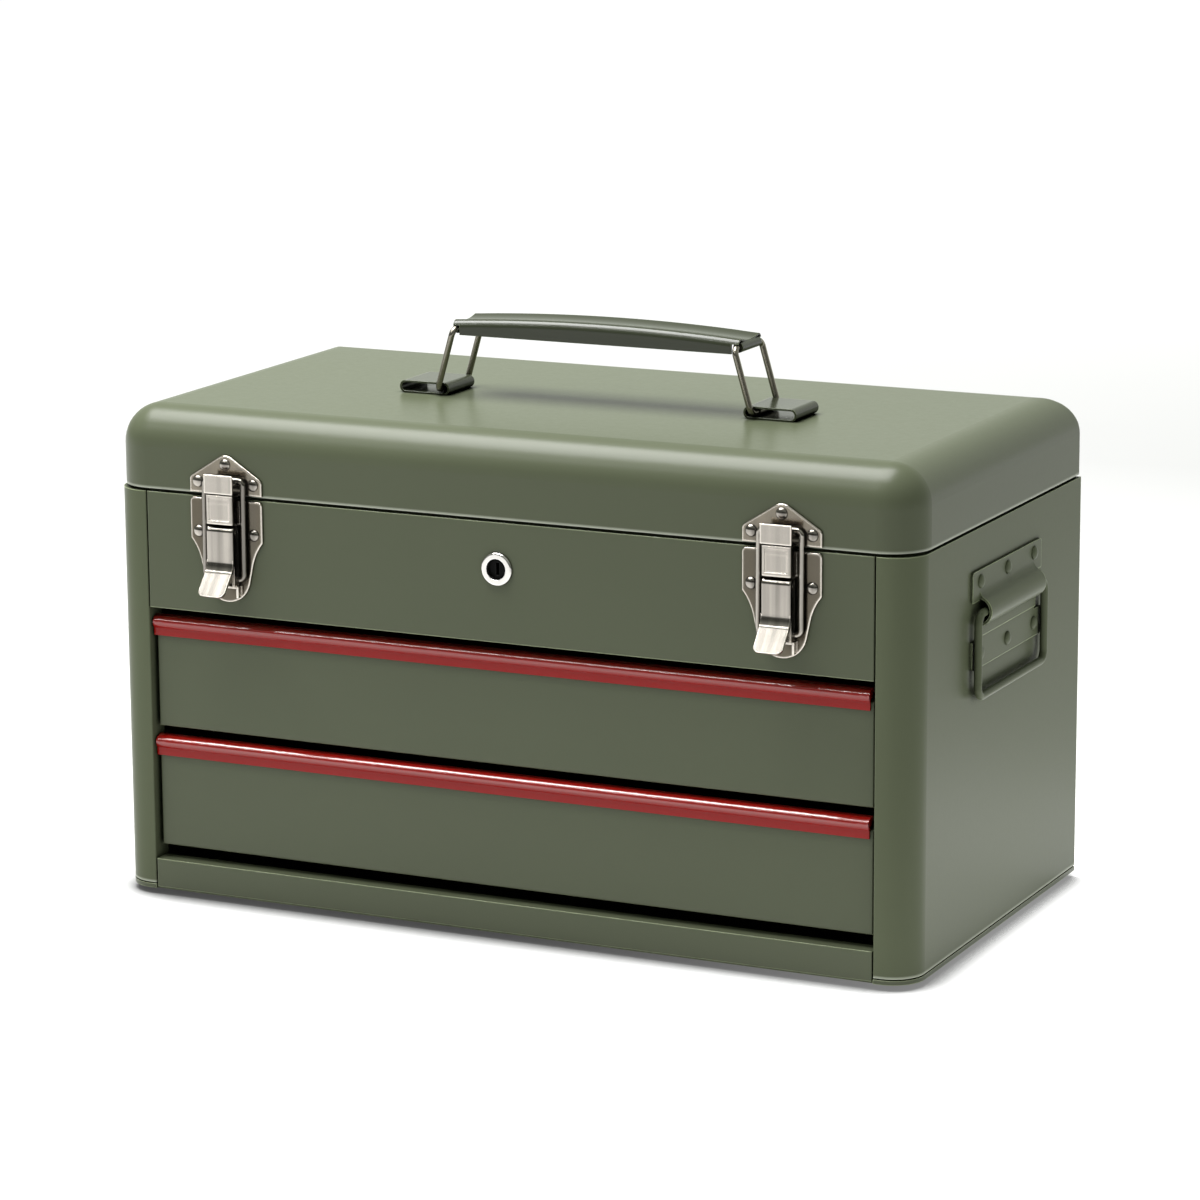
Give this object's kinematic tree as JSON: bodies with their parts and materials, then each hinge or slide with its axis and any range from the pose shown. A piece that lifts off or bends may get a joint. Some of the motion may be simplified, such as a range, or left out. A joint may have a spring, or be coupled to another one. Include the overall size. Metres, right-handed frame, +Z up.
{
  "type": "tool chest",
  "caption": "Green steel tool chest with a lift-up rounded lid over a well, drawers with red pulls, nickel draw latches, a lock, a folding top handle and side ring handles.",
  "frame": {"origin": "middle of the flat underside of the pressed floor of the base pan", "axes": "+X to the right seen from the front, +Y to the back, +Z up; the drawers open towards -Y"},
  "size_m": [0.5174, 0.2879, 0.338],
  "materials": {
    "green_enamel": "satin powder coat, olive green",
    "red_enamel": "semi-gloss red enamel",
    "bright_nickel": "bright nickel plate",
    "bare_steel": "drawn steel wire, slightly dark",
    "plated_steel": "zinc plated",
    "dark_steel": "blackened"
  },
  "bodies": {
    "case": {"back_panel": "green_enamel", "base_pan": "green_enamel", "base_rail": "green_enamel", "front_apron": "green_enamel", "hinge_leaf_case": "plated_steel", "hinge_pin": "plated_steel", "hinge_rivets_case": "plated_steel", "latch_base_left": "bright_nickel", "latch_base_right": "bright_nickel", "latch_pin_left": "bright_nickel", "latch_pin_right": "bright_nickel", "latch_rivets_left": "bright_nickel", "latch_rivets_right": "bright_nickel", "lock_bezel": "bright_nickel", "lock_nut": "plated_steel", "lower_runner_left": "plated_steel", "lower_runner_right": "plated_steel", "side_handle_plate_left": "green_enamel", "side_handle_plate_right": "green_enamel", "side_handle_rivets_left": "green_enamel", "side_handle_rivets_right": "green_enamel", "side_panel_left": "green_enamel", "side_panel_right": "green_enamel", "upper_runner_left": "plated_steel", "upper_runner_right": "plated_steel", "well_floor": "green_enamel"},
    "lid": {"handle_clip_left": "green_enamel", "handle_clip_right": "green_enamel", "handle_clip_rivets": "green_enamel", "hinge_leaf_lid": "plated_steel", "hinge_rivets_lid": "plated_steel", "latch_strike_left": "bright_nickel", "latch_strike_right": "bright_nickel", "lid_shell": "green_enamel", "lock_keeper": "plated_steel", "strike_rivets_left": "bright_nickel", "strike_rivets_right": "bright_nickel"},
    "lock": {"lock_plug": "dark_steel", "lock_cam": "plated_steel"},
    "upper_drawer": {"upper_drawer_front": "green_enamel", "upper_drawer_pull": "red_enamel", "upper_drawer_tray": "green_enamel"},
    "lower_drawer": {"lower_drawer_front": "green_enamel", "lower_drawer_pull": "red_enamel", "lower_drawer_tray": "green_enamel"},
    "latch_lever_left": {"latch_lever_left": "bright_nickel"},
    "latch_lever_right": {"latch_lever_right": "bright_nickel"},
    "latch_bail_left": {"latch_bail_left": "bright_nickel"},
    "latch_bail_right": {"latch_bail_right": "bright_nickel"},
    "handle_sleeve_left": {"handle_sleeve_left": "bare_steel"},
    "handle_link_left": {"handle_link_left": "bare_steel"},
    "handle_grip": {"handle_grip": "green_enamel"},
    "handle_link_right": {"handle_link_right": "bare_steel", "handle_sleeve_right": "bare_steel"},
    "side_ring_left": {"side_handle_ring_left": "green_enamel"},
    "side_ring_right": {"side_handle_ring_right": "green_enamel"}
  },
  "joints": [
    {"name": "lid_hinge", "type": "hinge", "parent": "case", "child": "lid", "pos_m": [0, 0.1327, 0.2424], "axis": [-1, 0, 0], "range_deg": [0, 105]},
    {"name": "upper_drawer_slide", "type": "slide", "parent": "case", "child": "upper_drawer", "axis": [0, -1, 0], "range_m": [0, 0.18]},
    {"name": "lower_drawer_slide", "type": "slide", "parent": "case", "child": "lower_drawer", "axis": [0, -1, 0], "range_m": [0, 0.18]},
    {"name": "lock_turn", "type": "hinge", "parent": "case", "child": "lock", "pos_m": [0, -0.1295, 0.2151], "axis": [0, 1, 0], "range_deg": [0, 90]},
    {"name": "handle_slide", "type": "slide", "parent": "lid", "child": "handle_sleeve_left", "axis": [-1, 0, 0], "range_m": [0, 0.0225]},
    {"name": "handle_fold", "type": "hinge", "parent": "handle_sleeve_left", "child": "handle_link_left", "pos_m": [-0.0905, -0.007, 0.2937], "axis": [0, 1, 0], "range_deg": [0, 45]},
    {"name": "handle_level", "type": "hinge", "parent": "handle_link_left", "child": "handle_grip", "pos_m": [-0.08, -0.007, 0.3298], "axis": [0, 1, 0], "range_deg": [-45, 0]},
    {"name": "handle_right", "type": "hinge", "parent": "handle_grip", "child": "handle_link_right", "pos_m": [0.098, -0.007, 0.3298], "axis": [0, 1, 0], "range_deg": [-45, 0]},
    {"name": "latch_lever_left", "type": "hinge", "parent": "case", "child": "latch_lever_left", "pos_m": [-0.173, -0.1345, 0.223], "axis": [-1, 0, 0], "range_deg": [0, 60]},
    {"name": "latch_bail_left", "type": "hinge", "parent": "latch_lever_left", "child": "latch_bail_left", "pos_m": [-0.173, -0.1337, 0.1955], "axis": [-1, 0, 0], "range_deg": [-38.5, 0]},
    {"name": "side_ring_left", "type": "hinge", "parent": "case", "child": "side_ring_left", "pos_m": [-0.2543, 0.0063, 0.195], "axis": [0, 1, 0], "range_deg": [0, 90]},
    {"name": "latch_lever_right", "type": "hinge", "parent": "case", "child": "latch_lever_right", "pos_m": [0.173, -0.1345, 0.223], "axis": [-1, 0, 0], "range_deg": [0, 60]},
    {"name": "latch_bail_right", "type": "hinge", "parent": "latch_lever_right", "child": "latch_bail_right", "pos_m": [0.173, -0.1337, 0.1955], "axis": [-1, 0, 0], "range_deg": [-38.5, 0]},
    {"name": "side_ring_right", "type": "hinge", "parent": "case", "child": "side_ring_right", "pos_m": [0.2543, 0.0063, 0.195], "axis": [0, -1, 0], "range_deg": [0, 90]}
  ],
  "couplings": [
    {"joint": "handle_slide", "follows": "handle_fold", "m_per_rad": 0.02858},
    {"joint": "handle_level", "follows": "handle_fold", "ratio": -1},
    {"joint": "handle_right", "follows": "handle_fold", "ratio": -1},
    {"joint": "latch_bail_left", "follows": "latch_lever_left", "ratio": -0.64},
    {"joint": "latch_bail_right", "follows": "latch_lever_right", "ratio": -0.64}
  ]
}
